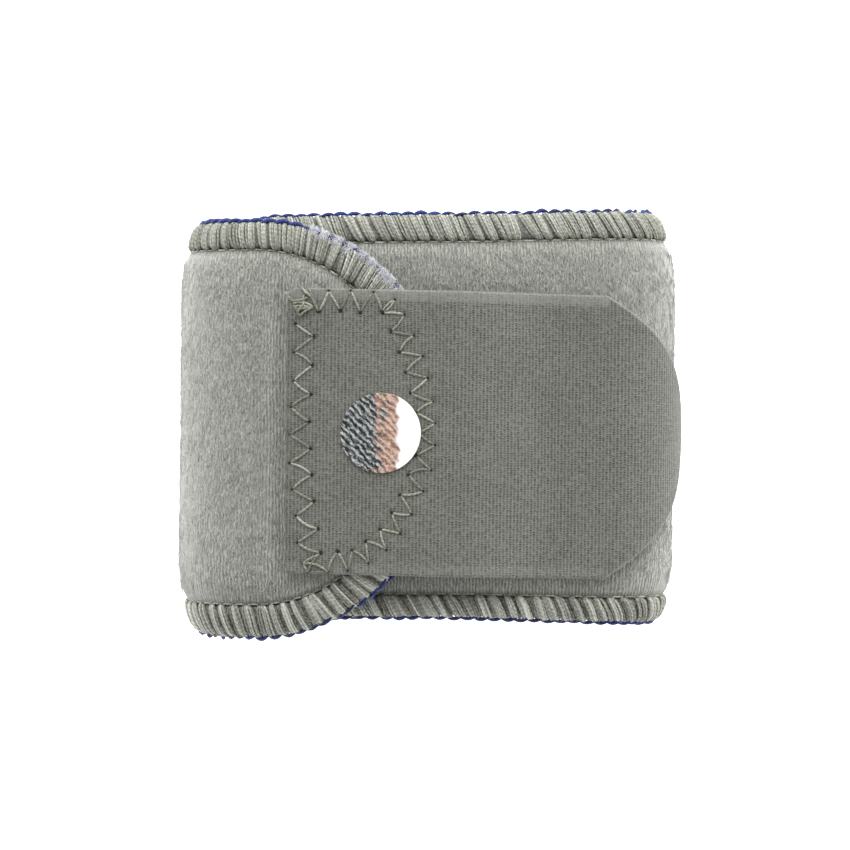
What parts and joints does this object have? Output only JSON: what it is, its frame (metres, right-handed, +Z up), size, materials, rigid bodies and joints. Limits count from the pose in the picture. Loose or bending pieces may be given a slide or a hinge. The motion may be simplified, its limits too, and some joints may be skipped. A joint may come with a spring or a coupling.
{
  "type": "wrist support",
  "caption": "Soft wrist support: padded strip with overlocked edges, wrapped into a loop that lies flat, its rounded flap held down by a wide hook strap with a round foil seal",
  "frame": {"origin": "on the surface that the loop lies on, under the middle of the whole part", "axes": "+X across the loop towards the strap's rounded end, +Y along the forearm, +Z up, away from the surface, on the side of the flap and strap"},
  "size_m": [0.0902, 0.0756, 0.0361],
  "materials": {
    "laminate": "matte brushed loop pile",
    "thread": "matte overlocked thread",
    "hook_tape": "matte woven tape",
    "foil": "metallised film"
  },
  "bodies": {
    "root": {"foam_band": "laminate", "overlock_edge": "thread", "hook_strap": "hook_tape", "foil_seal": "foil"}
  },
  "joints": []
}
